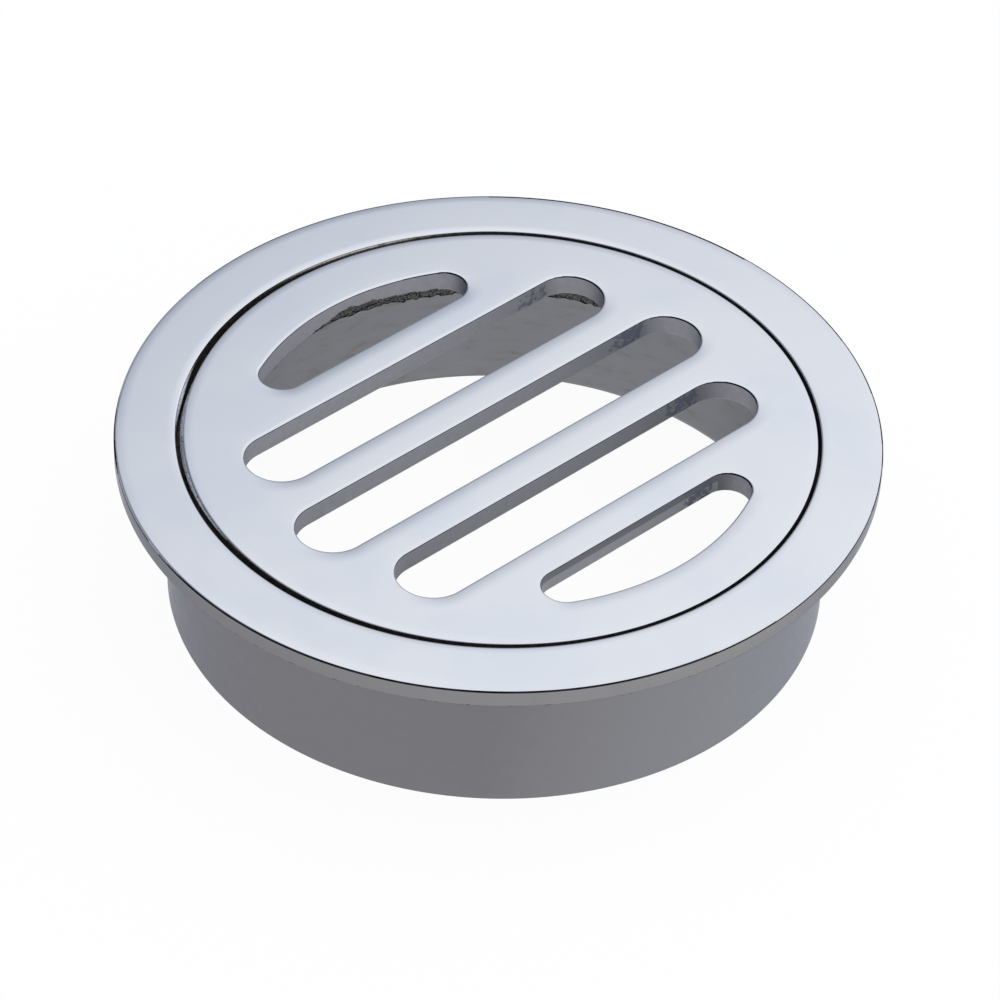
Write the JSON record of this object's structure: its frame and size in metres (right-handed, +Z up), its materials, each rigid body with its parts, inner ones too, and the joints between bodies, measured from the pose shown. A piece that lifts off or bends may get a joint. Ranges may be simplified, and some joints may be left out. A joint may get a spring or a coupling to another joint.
{
  "type": "floor drain",
  "caption": "Round floor drain: a slotted grate lies flush in a flanged frame whose short spigot slides into a drain pipe.",
  "frame": {"origin": "centre of the spigot's lower rim, on the plane that the drain stands on", "axes": "+Z up along the ring axis, out of the grate; +X along the slots"},
  "size_m": [0.115, 0.115, 0.0286],
  "materials": {
    "frame_plating": "chrome plate on turned brass, flange polished, spigot satin, a band of the bore as cast",
    "grate_plating": "chrome plate on polished brass, slot edges rolled off by the polishing"
  },
  "bodies": {
    "root": {"frame": "frame_plating", "grate": "grate_plating"}
  },
  "joints": []
}
